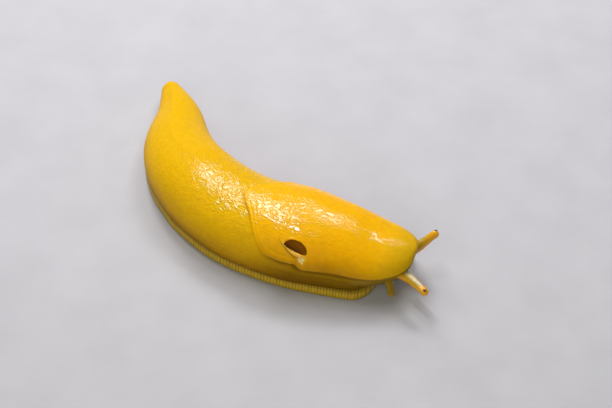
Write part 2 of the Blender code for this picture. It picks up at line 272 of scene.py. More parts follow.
@dataclass(frozen=True)
class BodyPlan:
    """Spine and sections of the slug.

    Lengths and heights are in millimetres, headings and the margin's angles in degrees.
    """

    length: float = 121.0
    tail_tip: tuple[float, float] = (-51.89, 31.96)
    headings: Pairs = (
        (0.0, -52), (0.08, -53), (0.18, -67), (0.32, -49), (0.48, -25), (0.71, 0), (1.0, 4),
    )
    # Share, half width, height of the back, how peaked the back is
    stations: tuple[tuple[float, ...], ...] = (
        (0.00, 2.2, 6.6, 1.8),
        (0.08, 5.0, 8.9, 1.7),
        (0.18, 8.2, 11.8, 1.65),
        (0.29, 11.0, 14.9, 1.75),
        (0.42, 12.6, 17.6, 2.0),
        (0.575, 14.1, 17.5, 2.1),
        (0.71, 14.4, 18.7, 2.2),
        (0.845, 12.3, 16.9, 2.2),
        (0.93, 11.2, 14.3, 2.2),
        (1.00, 10.4, 14.3, 2.1),
    )
    tail_round: float = 0.024
    widest_at: float = 0.31
    fringe: float = 2.9
    furrow_share: float = 0.97
    sole_shares: Pairs = ((0.0, 0.97), (0.7, 0.97), (0.88, 1.03), (1.0, 1.03))
    foot_front: float = 0.922
    foot_round: float = 0.055
    groove: float = 0.6
    # Share and degrees round the section from its widest line
    margin: Pairs = (
        (0.585, 86), (0.603, 76), (0.629, 63), (0.652, 45), (0.670, 29), (0.688, 17.5),
        (0.702, 13.5), (0.722, 11.5), (0.80, 11.5), (0.87, 12.0), (0.93, 14.0), (1.0, 18),
    )
    hood_round: float = 0.15
    hood_power: float = 2.8
    hood_centre: float = 12.7
    lip: float = 0.7
    narrowing: Pairs = ((0.78, 1.0), (0.86, 0.99), (0.90, 0.92), (0.945, 0.70), (0.985, 0.44))
    underside: Pairs = ((0.885, 2.9), (0.93, 3.0), (0.96, 3.7), (0.985, 5.2))

    @property
    def mantle_rear(self) -> float:
        """Share of the spine where the mantle starts."""
        return self.margin[0][0]

    def station(self, column: int, at: Array) -> Array:
        """One column of the stations, read at the shares `at`."""
        return curve_through([(row[0], row[column]) for row in self.stations], at)

    def tail_rounding(self, at: Array) -> Array:
        """Quarter ellipse sqrt(1 - 0.96 t^2) that rounds off the tip of the tail."""
        t = np.clip(1 - np.asarray(at) / self.tail_round, 0, 1)
        return np.sqrt(1 - 0.96 * t * t)

    def half_width(self, at: Array) -> Array:
        """Half the width of the body."""
        return self.station(1, at) * self.tail_rounding(at)

    def back(self, at: Array) -> Array:
        """Height of the back over the floor."""
        return self.fringe + (self.station(2, at) - self.fringe) * self.tail_rounding(at)

    def widest(self, at: Array) -> Array:
        """Height over the floor at which the flank is widest."""
        return self.fringe + self.widest_at * (self.back(at) - self.fringe)

    def nose(self, at: Array, end: float, length: float, power: float = 2.4) -> Array:
        """Rounding (1 - t^p)^(1/p) that falls from 1 to 0 over `length` at `end`."""
        t = np.clip((np.asarray(at) - (end - length)) / length, 0, 1)
        return (1 - t**power) ** (1 / power)

    def sole_width(self, at: Array) -> Array:
        """Half the width of the sole, rounded off at its front.

        Args:
            at: shares of the spine.

        Returns:
            Millimetres.
        """
        share = curve_through(self.sole_shares, at)
        front = np.maximum(self.nose(at, self.foot_front, self.foot_round), 0.06)
        return share * self.half_width(at) * front

    def spine(self, at: Array) -> tuple[Array, Array]:
        """Points of the spine on the floor, from the headings summed along it.

        Args:
            at: shares of the spine. Past 1 it runs straight on.

        Returns:
            Places and unit directions, each of shape (shares, 2).
        """
        fine = np.linspace(0, 1, 600)
        heading = np.radians(curve_through(self.headings, fine))
        step = self.length / (len(fine) - 1)
        path = np.stack([np.cos(heading), np.sin(heading)], axis=1)
        middle = (path[1:] + path[:-1]) / 2 * step
        points = np.concatenate([[(0, 0)], np.cumsum(middle, axis=0)]) + self.tail_tip
        turned = np.interp(at, fine, heading)
        ahead = np.stack([np.cos(turned), np.sin(turned)], axis=-1)
        place = np.stack([np.interp(at, fine, points[:, i]) for i in (0, 1)], axis=-1)
        beyond = np.maximum(np.asarray(at) - 1, 0) * self.length
        return place + beyond[:, None] * ahead, ahead

    def carry(self, at: Array, out: Array, up: Array) -> Array:
        """Carries sections along the spine.

        Args:
            at: share of each row.
            out: distance to the right of the spine, of shape (rows, around).
            up: height, of the same shape.

        Returns:
            Rings of shape (rows, around, 3).
        """
        place, ahead = self.spine(at)
        right = np.stack([ahead[:, 1], -ahead[:, 0]], axis=1)
        flat = place[:, None, :] + out[..., None] * right[:, None, :]
        return np.concatenate([flat, up[..., None]], axis=2)

    def point(self, at: float, right: float, up: float) -> Array:
        """One point at a share of the spine, to its right and up."""
        return self.carry(np.array([at]), np.array([[right]]), np.array([[up]]))[0, 0]

    def section(self, at: Array, angle: Array, grow: Array | float = 0.0) -> tuple[Array, Array]:
        """Section of the body as a superellipse over its widest line, a bowl below.

        Above, (out / w)^p + ((up - m) / (h - m))^p = 1. Below, a quarter ellipse
        draws in to the furrow over the foot.

        Args:
            at: share of each row.
            angle: radians up from the widest line, of shape (rows, around), between
                -90 degrees at the furrow and 90 degrees at the keel.
            grow: how far the upper part stands off, in millimetres.

        Returns:
            Distances out and heights, each of shape (rows, around).
        """
        wide, tall = self.half_width(at)[:, None], self.back(at)[:, None]
        middle, power = self.widest(at)[:, None], 2 / self.station(3, at)[:, None]
        furrow = self.furrow_share * wide - self.groove * self.tail_rounding(at)[:, None]
        cos, sin = np.maximum(np.cos(angle), 0), np.sin(angle)
        above = angle >= 0
        out = np.where(above, (wide + grow) * cos**power, furrow + (wide - furrow) * cos)
        rise = (tall + grow - middle) * np.abs(sin) ** power
        up = middle + np.where(above, rise, (middle - self.fringe) * sin)
        return out, up

    def margin_angle(self, at: Array) -> Array:
        """Where the mantle's margin lies round the section, in radians."""
        return np.radians(curve_through(self.margin, at))

    def into_hood(self, at: Array, out: Array, up: Array) -> tuple[Array, Array]:
        """Draws sections in towards the hood's middle as the hood rounds off."""
        closing = self.nose(at, 1.0, self.hood_round, self.hood_power)[:, None]
        return out * closing, self.hood_centre + (up - self.hood_centre) * closing**0.8

    def margin_height(self, at: Array) -> Array:
        """Height of the mantle's margin over the floor."""
        out, up = self.section(at, self.margin_angle(at)[:, None])
        return self.into_hood(at, out, up)[1][:, 0]

    def locate(self, points: Array) -> tuple[Array, Array]:
        """Finds where points lie on the body, by the nearest place on the spine.

        Args:
            points: shape (points, 3), in millimetres.

        Returns:
            Share, and angle up from the widest line at the right flank, which runs on
            over the keel to the left.
        """
        shares = np.linspace(0, 1.06, 900)
        place, ahead = self.spine(shares)
        nearest = np.empty(len(points), int)
        batch = 20000
        for start in range(0, len(points), batch):
            part = points[start : start + batch, None, :2] - place[None]
            nearest[start : start + batch] = (part**2).sum(axis=2).argmin(axis=1)
        off = points[:, :2] - place[nearest]
        way = ahead[nearest]
        share = shares[nearest] + (off * way).sum(axis=1) / self.length
        out = off[:, 0] * way[:, 1] - off[:, 1] * way[:, 0]
        wide, tall, middle = self.half_width(share), self.back(share), self.widest(share)
        rise, half_power = points[:, 2] - middle, self.station(3, share) / 2
        upper = np.arctan2(
            np.maximum(rise / (tall - middle), 0) ** half_power, np.abs(out / wide) ** half_power
        )
        lower = -np.arcsin(np.clip(-rise / (middle - self.fringe), 0, 1))
        angle = np.where(rise > 0, upper, lower)
        return share, np.where(out > 0, angle, math.pi - angle)


def both_sides(out: Array, up: Array) -> tuple[Array, Array]:
    """Whole ring from its right half, which runs from the middle below to above.

    Args:
        out: right half, of shape (rows, points).
        up: heights of the same shape.

    Returns:
        Rings of shape (rows, 2 * points - 2).
    """
    full_out = np.concatenate([out, -out[:, -2:0:-1]], axis=1)
    return full_out, np.concatenate([up, up[:, -2:0:-1]], axis=1)


@dataclass(frozen=True)
class Trunk:
    """The body over the foot, with its net of long furrows and its keel.

    `girth` is how many millimetres of skin a radian round the section takes.
    """

    plan: BodyPlan
    rows: int = 300
    points: int = 94
    bare_rows: float = 0.8
    bare_to: float = 0.66
    tucked_from: float = 0.70
    tuck: float = 1.5
    front: float = 0.912
    front_round: float = 0.04
    bed: float = 0.7
    furrow_depth: float = 0.15
    tubercle: tuple[float, float] = (2.4, 0.98)
    girth: float = 13.5
    keel: Pairs = ((0.0, 0.2), (0.15, 1.4), (0.30, 1.9), (0.42, 0.6))

    def row_shares(self) -> Array:
        """Shares of the rows, closer together where no mantle lies over the trunk.

        Returns:
            Rising shares of the spine.
        """
        fine = int(self.rows * self.bare_rows)
        bare = np.linspace(0, self.bare_to, fine, endpoint=False)
        covered = np.linspace(self.bare_to, self.front - 0.0005, self.rows - fine)
        return np.concatenate([bare, covered])

    def shell(self) -> Shell:
        """Section carried along the spine, with its bed sunk in the foot.

        Under the mantle it is cut off a little over the margin's height, and in front
        it narrows to the neck.

        Returns:
            The trunk, tucked in under the mantle and the hood.
        """
        plan = self.plan
        at = self.row_shares()
        angle = np.linspace(-math.pi / 2, math.pi / 2, self.points)[None].repeat(self.rows, 0)
        out, up = plan.section(at, angle)
        narrow = curve_through(plan.narrowing, at) * plan.nose(at, self.front, self.front_round)
        ceiling = plan.margin_height(np.maximum(at, self.tucked_from)) + self.tuck
        ceiling = np.where(at > self.tucked_from, ceiling, np.inf)
        out, up = out * narrow[:, None], np.minimum(up, ceiling[:, None])
        bed = np.stack([np.zeros(self.rows), out[:, 0] * 0.5, out[:, 0]], axis=1)
        out = np.concatenate([bed, out], axis=1)
        up = np.concatenate([np.full_like(bed, plan.fringe - self.bed), up], axis=1)
        around = np.concatenate([np.full_like(bed, -math.pi / 2), angle], axis=1)
        out, up = both_sides(out, up)
        around = np.concatenate([around, math.pi - around[:, -2:0:-1]], axis=1)
        rings = plan.carry(at, out, up)
        height = self.relief(at[:, None], around, out)
        return Shell("trunk", rings + grid_normals(rings) * height[..., None], Zone.TRUNK)

    def relief(self, at: Array, around: Array, out: Array) -> Array:
        """Height of the tubercles and the keel over the smooth body.

        A tubercle is a cell of the jittered grid, long along the body. Its crown is
        1 - distance^2, and the furrow is where the two nearest centres are as far. Slow
        noise swells the skin, and the keel is a bell curve across its middle line.

        Args:
            at: shares, of shape (rows, 1).
            around: angles, of shape (rows, around).
            out: distances to the right.

        Returns:
            Millimetres along the normal.
        """
        plan = self.plan
        u = at * plan.length + 0 * around
        v = around * self.girth
        sway = soft_noise(u / 7, v / 5, 3) * 0.5 + soft_noise(u / 2.6, v / 2.2, 4) * 0.22
        long, wide = self.tubercle
        near, second = cell_distances(u / long + sway * 0.3, (v + sway) / wide, 5)
        crown = 0.35 * (1 - near**2) + 0.65 * ease(0, 0.30, second - near)
        swell = soft_noise(u / 9, v / 7, 6) * 0.10 + soft_noise(u / 3.5, v / 1.7, 8) * 0.03
        middle = curve_through(self.keel, at)
        crest = 0.3 * hill(out, middle, 0.9) * ease(0.02, 0.10, at) * ease(0.50, 0.36, at)
        upper = (around > 0) & (around < math.pi)
        low = np.minimum(around, math.pi - around)
        skirt = ease(-1.5, -0.9, low) * (0.30 + 0.70 * ease(0.3, 1.0, low))
        girth = plan.half_width(at) / plan.half_width(0.6)
        return (self.furrow_depth * (crown - 0.6) * skirt + swell) * girth + crest * upper


@dataclass(frozen=True)
class Foot:
    """The flat sole and its upright fringe, ribbed by fine grooves."""

    plan: BodyPlan
    rib_pitch: float = 0.84
    rib_depth: float = 0.22
    steps_a_rib: float = 4.4
    # Share of the sole's half width, and share of the fringe's height
    profile: Pairs = (
        (0, 0), (0.6, 0), (0.93, 0), (0.985, 0.05), (1.0, 0.16), (1.0, 0.45), (0.995, 0.72),
        (0.985, 0.92), (0.97, 1.06), (0.86, 1.1), (0.5, 1.1), (0, 1.1),
    )

    def rib_crest(self, at: Array) -> Array:
        """|cos| of the place along the foot: 1 on a rib, 0 in the groove beside it."""
        return np.abs(np.cos(math.pi * at * self.plan.length / self.rib_pitch))

    def shell(self) -> Shell:
        """Fringe profile carried along the spine, its side ribbed and a little wavy.

        The side is drawn in by the depth of a rib times 1 - crest^0.6, and moved in
        and out by a slow noise.

        Returns:
            The foot, its top sunk in the trunk and the head.
        """
        plan = self.plan
        rows = int(plan.foot_front * plan.length / self.rib_pitch * self.steps_a_rib)
        at = np.linspace(0, plan.foot_front, rows)
        share, height = np.array(self.profile, float).T
        out = plan.sole_width(at)[:, None] * share
        up = np.zeros_like(out) + height * plan.fringe
        ribs = self.rib_crest(at) ** 0.6
        uneven = soft_noise(at * plan.length / 1.9, 0 * at, 21)
        side = ease(0.2, 0.42, height) * (share > 0.94)
        rounding = plan.tail_rounding(at)
        depth = self.rib_depth * rounding
        out = out - ((1 - ribs) * depth * (1 + 0.4 * uneven))[:, None] * side
        wave = soft_noise(at * plan.length / 5.5, 0 * at, 22) * 0.16
        out = out + wave[:, None] * (share > 0.9) * rounding[:, None]
        out, up = both_sides(out, up)
        return Shell("foot", plan.carry(at, out, up), Zone.FOOT)


@dataclass(frozen=True)
class Mantle:
    """The saddle over the back, with a rolled lip, and its hood over the head.

    The breathing hole's ends are given as (share, right, up), and its size as its half
    height and its depth. `edge_halves` are the half length of its edge, and its half
    heights above and below the long axis, which leans by `hole_tilt` up to the rear.
    `girth` is how many millimetres of skin a radian round the section takes.
    """

    plan: BodyPlan
    rows: int = 176
    points: int = 56
    rear_rows: int = 74
    rear_length: float = 0.143
    rear_roll: float = 0.010
    front: float = 0.9985
    lip_points: int = 6
    girth: float = 13.0
    hole_ends: Waypoints = ((0.723, 12.1, 15.7), (0.774, 12.8, 14.3))
    hole_size: tuple[float, float] = (2.4, 3.2)
    hole_slope: float = 48.0
    hole_flatness: float = 0.3
    hole_angle: float = 0.64
    hole_tilt: float = 0.40
    edge_halves: tuple[float, float, float] = (3.15, 2.1, 0.72)
    edge_drop: float = 0.25
    bubbles: int = 15
    froth_middle: tuple[float, float] = (2.0, -2.3)
    froth_halves: tuple[float, float] = (1.0, 1.25)
    froth_turn: float = 2.4

    @property
    def hole_middle(self) -> float:
        """Share of the spine at the middle of the breathing hole."""
        return (self.hole_ends[0][0] + self.hole_ends[1][0]) / 2

    def row_shares(self) -> Array:
        """Shares of the rows, closer together at the rear edge and at the hood's front.

        Returns:
            Rising shares of the spine.
        """
        rear = self.plan.mantle_rear + self.rear_length * np.linspace(0, 1, self.rear_rows) ** 1.25
        share = np.linspace(0, 1, self.rows - self.rear_rows + 1)[1:]
        front = rear[-1] + (self.front - rear[-1]) * (1 - (1 - share) ** 1.35)
        return np.concatenate([rear, front])

    def shell(self) -> Shell:
        """Grown section from the margin to the keel, closed by a level underside.

        At the margin, half an ellipse rolls from the grown section in to the body's
        own. The relief fades out over it.

        Returns:
            The mantle, grained and folded.
        """
        plan = self.plan
        at = self.row_shares()
        start = plan.margin_angle(at)[:, None]
        t = np.linspace(0, 1, self.points)[None]
        angle = start + (math.pi / 2 - start) * t
        t_rear = np.clip((at - plan.mantle_rear) / self.rear_roll, 0, 1)
        grow = (plan.lip * np.sqrt(0.12 + 0.88 * (1 - (1 - t_rear) ** 2)))[:, None]
        out, up = plan.section(at, angle, grow)
        inner_out, inner_up = plan.section(at, start)
        roll = np.linspace(0, 1, self.lip_points + 1)[None, :-1] * math.pi
        mid_out, mid_up = (out[:, :1] + inner_out) / 2, (up[:, :1] + inner_up) / 2
        arm_out, arm_up = (inner_out - out[:, :1]) / 2, (inner_up - up[:, :1]) / 2
        drop = 0.8 * grow * np.sin(roll)
        lip_out = mid_out + arm_out * np.cos(roll)
        lip_up = mid_up + arm_up * np.cos(roll) - drop * np.cos(start)
        under = np.concatenate([0 * inner_out, 0.55 * inner_out, 0.9 * inner_out], axis=1)
        ceiling = np.repeat(inner_up + 0.25, 3, axis=1)
        out = np.concatenate([under, lip_out, out], axis=1)
        up = np.concatenate([ceiling, lip_up, up], axis=1)
        body = np.concatenate([np.repeat(start, 3 + roll.shape[1], axis=1), angle], axis=1)
        fade = np.sin(roll / 2) ** 2 + 0 * mid_out
        lift = np.concatenate([np.zeros((len(at), 3)), fade, np.ones_like(angle)], axis=1)
        around = np.concatenate([body, math.pi - body[:, -2:0:-1]], axis=1)
        lift = np.concatenate([lift, lift[:, -2:0:-1]], axis=1)
        out, up = plan.into_hood(at, *both_sides(out, up))
        up = up + self.notch(at[:, None], around)
        rings = plan.carry(at, out, up)
        height = self.relief(at[:, None], around) * lift
        return Shell("mantle", rings + grid_normals(rings) * height[..., None], Zone.MANTLE)

    def hole_place(self, at: Array, around: Array) -> tuple[Array, Array]:
        """Coordinates about the breathing hole, its long axis from rear to front.

        Args:
            at: shares of the spine.
            around: angles round the section.

        Returns:
            Millimetres ahead of the hole's middle, and up from its long axis. On the
            left side, far up.
        """
        x = (at - self.hole_middle) * self.plan.length + 0 * around
        y = (around - self.hole_angle) * self.girth + self.hole_tilt * x
        return x, np.where(around < math.pi / 2, y, 40.0)

    def notch(self, at: Array, around: Array) -> Array:
        """Step in the right margin: drawn up behind the cleft, hanging in front of it.

        The margin's own lift, eased out over the first 3 mm of skin above it.

        Args:
            at: shares of the spine.
            around: angles round the section.

        Returns:
            Millimetres upward.
        """
        above = (around - self.plan.margin_angle(at)) * self.girth
        return self.margin_lift(at) * ease(3.2, 0.2, above) * (around < math.pi / 2)

    def margin_lift(self, at: Array) -> Array:
        """How far the right margin is drawn up or hangs down.

        A rise that is eased in from the rear and out at the cleft, less a bell-shaped
        sag in front of the cleft, plus a slow ripple.

        Args:
            at: shares of the spine.

        Returns:
            Millimetres upward.
        """
        x = (at - self.hole_middle) * self.plan.length
        ripple = 0.22 * soft_noise(x / 4.5, 0 * x + 0.5, 35) * ease(0.70, 0.76, at)
        return 1.25 * ease(-9, -5, x) * ease(1.3, 0.1, x) - 0.45 * hill(x, 4.6, 2.4) + ripple

    def relief(self, at: Array, around: Array) -> Array:
        """Height of the grain, the swellings and the folds over the smooth mantle.

        Streaks of noise and small cells, long along the body, are full on the crown and
        faint at the sides, over slow swellings. At the rear corner, folds follow the
        margin as a cosine of the distance from it.

        Args:
            at: shares, of shape (rows, 1).
            around: angles, of shape (rows, around).

        Returns:
            Millimetres along the normal.
        """
        plan = self.plan
        u = at * plan.length + 0 * around
        v = around * self.girth
        low = np.minimum(around, math.pi - around)
        crown = ease(0.62, 1.05, low) * (0.25 + 0.75 * ease(0.90, 0.80, at))
        swell = soft_noise(u / 8, v / 5, 31) * 0.12
        sway = soft_noise(u / 4.2, v / 2.6, 34) * 0.8
        streak = soft_noise(u / 5.0, (v + sway) / 1.2, 32) * 0.035
        near, second = cell_distances(u / 2.0, (v + sway) / 0.8, 33)
        grain = 0.012 * ease(0, 0.5, second - near)
        above = (low - plan.margin_angle(at)) * self.girth
        corner = ease(0.60, 0.64, at) * ease(0.76, 0.72, at)
        fold = 0.045 * np.cos(2 * math.pi * above / 1.9) * hill(above, 1.8, 1.7) * corner
        smooth = swell + (streak + grain) * (0.12 + 0.88 * crown) + fold
        return smooth + self.hole_relief(*self.hole_place(at, around))

    def hole_relief(self, x: Array, y: Array) -> Array:
        """Lip of the breathing hole, its outer crease, and the cleft to the margin.

        The lip, the crease and the outer swelling are bell-shaped in the distance from
        the hole's edge, round its rear end and below it only. A low brow lies above.
        The cleft is a channel with a bank on its front side.

        Args:
            x: millimetres ahead of the hole's middle.
            y: millimetres up from its long axis.

        Returns:
            Millimetres along the normal.
        """
        off = self.hole_edge(x, y)
        below = ease(0.0, -0.8, y) * ease(3.4, 1.4, x)
        lip = 0.40 * hill(off, 0.60, 0.48) * below
        crease = 0.45 * hill(off, 1.45, 0.26) * below * ease(1.8, 0.4, x)
        outer = 0.25 * hill(off, 2.05, 0.34) * below * ease(1.4, 0.0, x)
        brow = 0.12 * hill(off, 0.30, 0.35) * (1 - below)
        course = x - self.cleft_course(y)
        channel = self.channel(course) * ease(-1.0, -2.0, y)
        bank = 0.30 * hill(course, 1.9, 0.9) * ease(-0.4, -2.2, y) * ease(-9, -5, y)
        return lip - crease + outer + brow - channel + bank

    def hole_edge(self, x: Array, y: Array) -> Array:
        """How far places lie outside the edge of the hole.

        The edge is an ellipse, flatter below its long axis than above. `share` is a
        place's distance from the middle over the edge's, so that (1 - 1 / share) of its
        distance lies outside.

        Args:
            x: millimetres ahead of the hole's middle.
            y: millimetres up from its long axis.

        Returns:
            Millimetres, negative inside the hole.
        """
        long, above, below = self.edge_halves
        y = y + self.edge_drop
        share = np.maximum(np.hypot(x / long, y / np.where(y > 0, above, below)), 0.05)
        return (1 - 1 / share) * np.hypot(x, y)

    def cleft_course(self, y: Array) -> Array:
        """How far ahead of the hole's middle the cleft runs, at a height y."""
        return 1.6 + 0.22 * (y + 1.5)

    def channel(self, course: Array) -> Array:
        """Depth of the cleft at a distance from its course: a bell curve."""
        return 0.45 * hill(course, 0, 0.62)

    def froth(self) -> list[Shell]:
        """Small bubbles of mucus, half sunk along the cleft.

        They lie like the seeds of a sunflower: each is one more step of `froth_turn`
        round, and further out by the square root of its number.

        Returns:
            One ball a bubble.
        """
        plan = self.plan
        found = []
        for i in range(self.bubbles):
            reach, turn = math.sqrt((i + 0.5) / self.bubbles), self.froth_turn * i
            x = self.froth_middle[0] + self.froth_halves[0] * reach * math.cos(turn)
            y = self.froth_middle[1] + self.froth_halves[1] * reach * math.sin(turn)
            at = np.array([self.hole_middle + x / plan.length])
            around = self.hole_angle + (y - self.hole_tilt * x) / self.girth
            sunk = 0.08 + self.channel(x - self.cleft_course(y))
            out, up = plan.section(at, np.array([[around]]), plan.lip - sunk)
            size = np.full(3, 0.28 + 0.07 * math.cos(1.7 * i))
            rings = ball_rings(plan.carry(at, out, up)[0, 0], size, rows=12, around=16)
            found.append(Shell("bubble", rings, Zone.PIT))
        return found

    def pocket(self) -> Shell:
        """The breathing hole's pocket: an ellipsoid, flatter below than above.

        Returns:
            The cutter, its long axis from the hole's rear end to its front end.
        """
        plan = self.plan
        rear, front = (plan.point(*end) for end in self.hole_ends)
        along = (front - rear) / np.linalg.norm(front - rear)
        _, ahead = plan.spine(np.array([self.hole_ends[0][0]]))
        slope = math.radians(self.hole_slope)
        right = np.array([ahead[0][1], -ahead[0][0], 0]) * math.cos(slope)
        outward = right + np.array([0, 0, math.sin(slope)])
        upward = np.cross(outward, along)
        upward *= np.sign(upward[2]) / np.linalg.norm(upward)
        outward = np.cross(along, upward)
        tall, deep = self.hole_size
        axes = np.stack([along, outward, upward])
        size = np.array([np.linalg.norm(front - rear) / 2, deep, tall])
        rings = ball_rings((rear + front) / 2, size, axes, self.hole_flatness)
        return Shell("pocket", rings, Zone.POCKET)


def ball_rings(centre: Array, size: Array, axes: Array | None = None,
               flatness: float = 1.0, rows: int = 26, around: int = 40) -> Array:
    """Ellipsoid as rings round its first axis.

    Args:
        centre: its middle.
        size: its three half lengths.
        axes: unit axes as rows, or None for the world's.
        flatness: height of its lower half over its upper half's.
        rows: how many rings.
        around: points a ring.

    Returns:
        Rings of shape (rows, around, 3).
    """
    polar = np.linspace(0.06, math.pi - 0.06, rows)[:, None]
    turn = np.linspace(0, 2 * math.pi, around, endpoint=False)[None]
    x = np.cos(polar) + 0 * turn
    y, z = np.sin(polar) * np.cos(turn), np.sin(polar) * np.sin(turn)
    z = np.where(z < 0, z * flatness, z)
    local = np.stack([x, y, z], axis=-1) * np.asarray(size)
    return centre + (local @ axes if axes is not None else local)


@dataclass(frozen=True)
class Head:
    """The blunt head under the hood, with two lips at the slit of the mouth."""

    plan: BodyPlan
    start: float = 0.87
    tip: float = 0.985
    mouth: tuple[float, float] = (0.974, 5.0)
    lip_size: tuple[float, float, float] = (1.4, 1.1, 1.6)
    slit_ahead: float = 0.014
    slit_half: float = 0.35
    rows: int = 60
    points: int = 34
    tip_round: float = 0.035
    bluntness: float = 0.75

    def shell(self) -> Shell:
        """Rounded sections from under the hood to the blunt front.

        Each is a superellipse between the underside and the mantle's margin, its width
        cos^bluntness and its height sin^bluntness. Two noises fold it.

        Returns:
            The head, with soft folds round the mouth.
        """
        plan = self.plan
        share = np.linspace(0, 1, self.rows)
        at = self.start + (self.tip - self.start) * (1 - (1 - share) ** 1.4)
        tip = np.maximum(plan.nose(at, self.tip + 0.0015, self.tip_round), 0.12)[:, None]
        low = curve_through(plan.underside, at)[:, None]
        high = plan.margin_height(at)[:, None] + 0.5
        middle, half = (low + high) / 2, (high - low) / 2 * tip
        wide = (plan.half_width(at) * curve_through(plan.narrowing, at))[:, None] * tip
        angle = np.linspace(-math.pi / 2, math.pi / 2, self.points)[None]
        out = wide * np.maximum(np.cos(angle), 0) ** self.bluntness
        sin = np.sin(angle)
        up = middle + half * np.sign(sin) * np.abs(sin) ** self.bluntness
        out, up = both_sides(out, up)
        rings = plan.carry(at, out, up)
        u = at[:, None] * plan.length + 0 * out
        height = soft_noise(u / 1.3, out / 0.8, 41) * 0.07 + soft_noise(u / 3, up / 2, 42) * 0.1
        return Shell("head", rings + grid_normals(rings) * height[..., None], Zone.HEAD)

    def lips(self) -> list[Shell]:
        """The two lobes of the lips.

        Returns:
            One ellipsoid a side.
        """
        share, up = self.mouth
        size = np.array(self.lip_size)
        found = []
        for side in (-1, 1):
            centre = self.plan.point(share, side * size[1] * 1.09, up)
            found.append(Shell("lip", ball_rings(centre, size), Zone.HEAD))
        return found

    def slit(self) -> Shell:
        """The mouth's slit between the lips.

        Returns:
            The cutter, a thin upright ellipsoid.
        """
        share, up = self.mouth
        long, _, tall = self.lip_size
        centre = self.plan.point(share + self.slit_ahead, 0, up)
        rings = ball_rings(centre, np.array([long, self.slit_half, tall * 0.8]))
        return Shell("slit", rings, Zone.POCKET)


@dataclass(frozen=True)
class Tentacle:
    """A tapered, bent stalk with a rounded knob, rooted in the head.

    Its waypoints are (share, right, up). The radii are spread evenly along it, and
    `knob` is the radius at its tip.
    """

    plan: BodyPlan
    name: str
    zone: Zone
    waypoints: Waypoints
    radii: tuple[float, ...]
    knob: float
    rows: int = 60
    around: int = 24
    cap_rows: int = 12
    cap_end: float = 86.0

    def centreline(self, at: Array) -> Array:
        """Smooth line through the waypoints.

        Args:
            at: shares of the stalk's length.

        Returns:
            Points of shape (shares, 3).
        """
        along = np.linspace(0, 1, len(self.waypoints))
        places = np.array([self.plan.point(*point) for point in self.waypoints])
        axes = [curve_through(np.column_stack([along, places[:, i]]), at) for i in range(3)]
        return np.stack(axes, axis=1)

    def shell(self) -> Shell:
        """Circles carried along the line, swelling into the knob and closing round it.

        Returns:
            The stalk, creased by fine rings.
        """
        at = np.linspace(0, 1, self.rows)
        along = np.linspace(0, 1, len(self.radii))
        line = self.centreline(at)
        way = np.gradient(line, axis=0)
        way /= np.linalg.norm(way, axis=1, keepdims=True)
        shaft = curve_through(np.column_stack([along, self.radii]), at)
        far = np.linalg.norm(line - line[-1], axis=1)
        radius = shaft + (self.knob - shaft) * hill(far, 0, self.knob * 1.1)
        round_off = np.linspace(0, math.radians(self.cap_end), self.cap_rows)[1:]
        cap = line[-1] + way[-1] * (self.knob * np.sin(round_off))[:, None]
        line = np.concatenate([line, cap])
        way = np.concatenate([way, np.repeat(way[-1:], len(cap), axis=0)])
        radius = np.concatenate([radius, self.knob * np.cos(round_off)])
        side = np.cross(way, (0, 0, 1))
        side /= np.linalg.norm(side, axis=1, keepdims=True)
        above = np.cross(side, way)
        turn = np.linspace(0, 2 * math.pi, self.around, endpoint=False)[None]
        step = np.linalg.norm(np.diff(line, axis=0, prepend=line[:1]), axis=1)
        length = np.cumsum(step)[:, None]
        crease = 0.035 * soft_noise(length / 0.42, turn * 0.9, 51)
        crease = crease + 0.03 * soft_noise(length / 1.4, turn * 2.2, 52)
        wide = radius[:, None] * (1 + crease)
        spread = side[:, None] * np.cos(turn)[..., None] + above[:, None] * np.sin(turn)[..., None]
        rings = line[:, None] + spread * wide[..., None]
        return Shell(self.name, rings, self.zone)


def tentacles(plan: BodyPlan) -> list[Tentacle]:
    """The two eyestalks and the two feelers below them.

    Args:
        plan: the body that they grow from.

    Returns:
        Four tentacles, their waypoints as (share, right, up).
    """
    stalks = {
        "right": ((0.950, 3.2, 7.2), (0.984, 5.2, 7.9), (1.009, 7.2, 8.4), (1.042, 9.8, 8.1)),
        "left": ((0.950, -3.2, 7.2), (0.980, -5.0, 7.8), (1.001, -7.0, 9.5), (1.022, -8.9, 11.7)),
    }
    feeler = ((0.935, 4.2, 6.0), (0.952, 6.5, 5.2), (0.965, 8.6, 3.2))
    stalk_radii, stalk_knob = (1.8, 1.6, 1.35, 1.0), 1.18
    feeler_radii, feeler_knob = (1.6, 1.3, 1.0), 1.1
    found = []
    for side in SIDES:
        path, name = stalks[side], f"eyestalk_{side}"
        found.append(Tentacle(plan, name, Zone.STALK, path, stalk_radii, stalk_knob))
        sign = 1 if side == "right" else -1
        path, name = tuple((at, sign * right, up) for at, right, up in feeler), f"feeler_{side}"
        found.append(Tentacle(plan, name, Zone.FEELER, path, feeler_radii, feeler_knob))
    return found


def combine(target: bpy.types.Object, others: list[bpy.types.Object], operation: str) -> None:
    """Applies one Boolean with a collection of closed objects, and removes them.

    Args:
        target: the object that is changed.
        others: the objects to join to it or to cut from it.
        operation: UNION or DIFFERENCE.
    """
    group = bpy.data.collections.new("to_combine")
    bpy.context.scene.collection.children.link(group)
    for other in others:
        group.objects.link(other)
    modifier = target.modifiers.new("combine", "BOOLEAN")
    modifier.operand_type, modifier.collection = "COLLECTION", group
    modifier.operation, modifier.solver = operation, "MANIFOLD"
    bpy.context.view_layer.update()
    graph = bpy.context.evaluated_depsgraph_get()
    mesh = bpy.data.meshes.new_from_object(target.evaluated_get(graph))
    target.modifiers.clear()
    target.data = mesh
    for other in others:
        bpy.data.objects.remove(other)
    bpy.data.collections.remove(group)


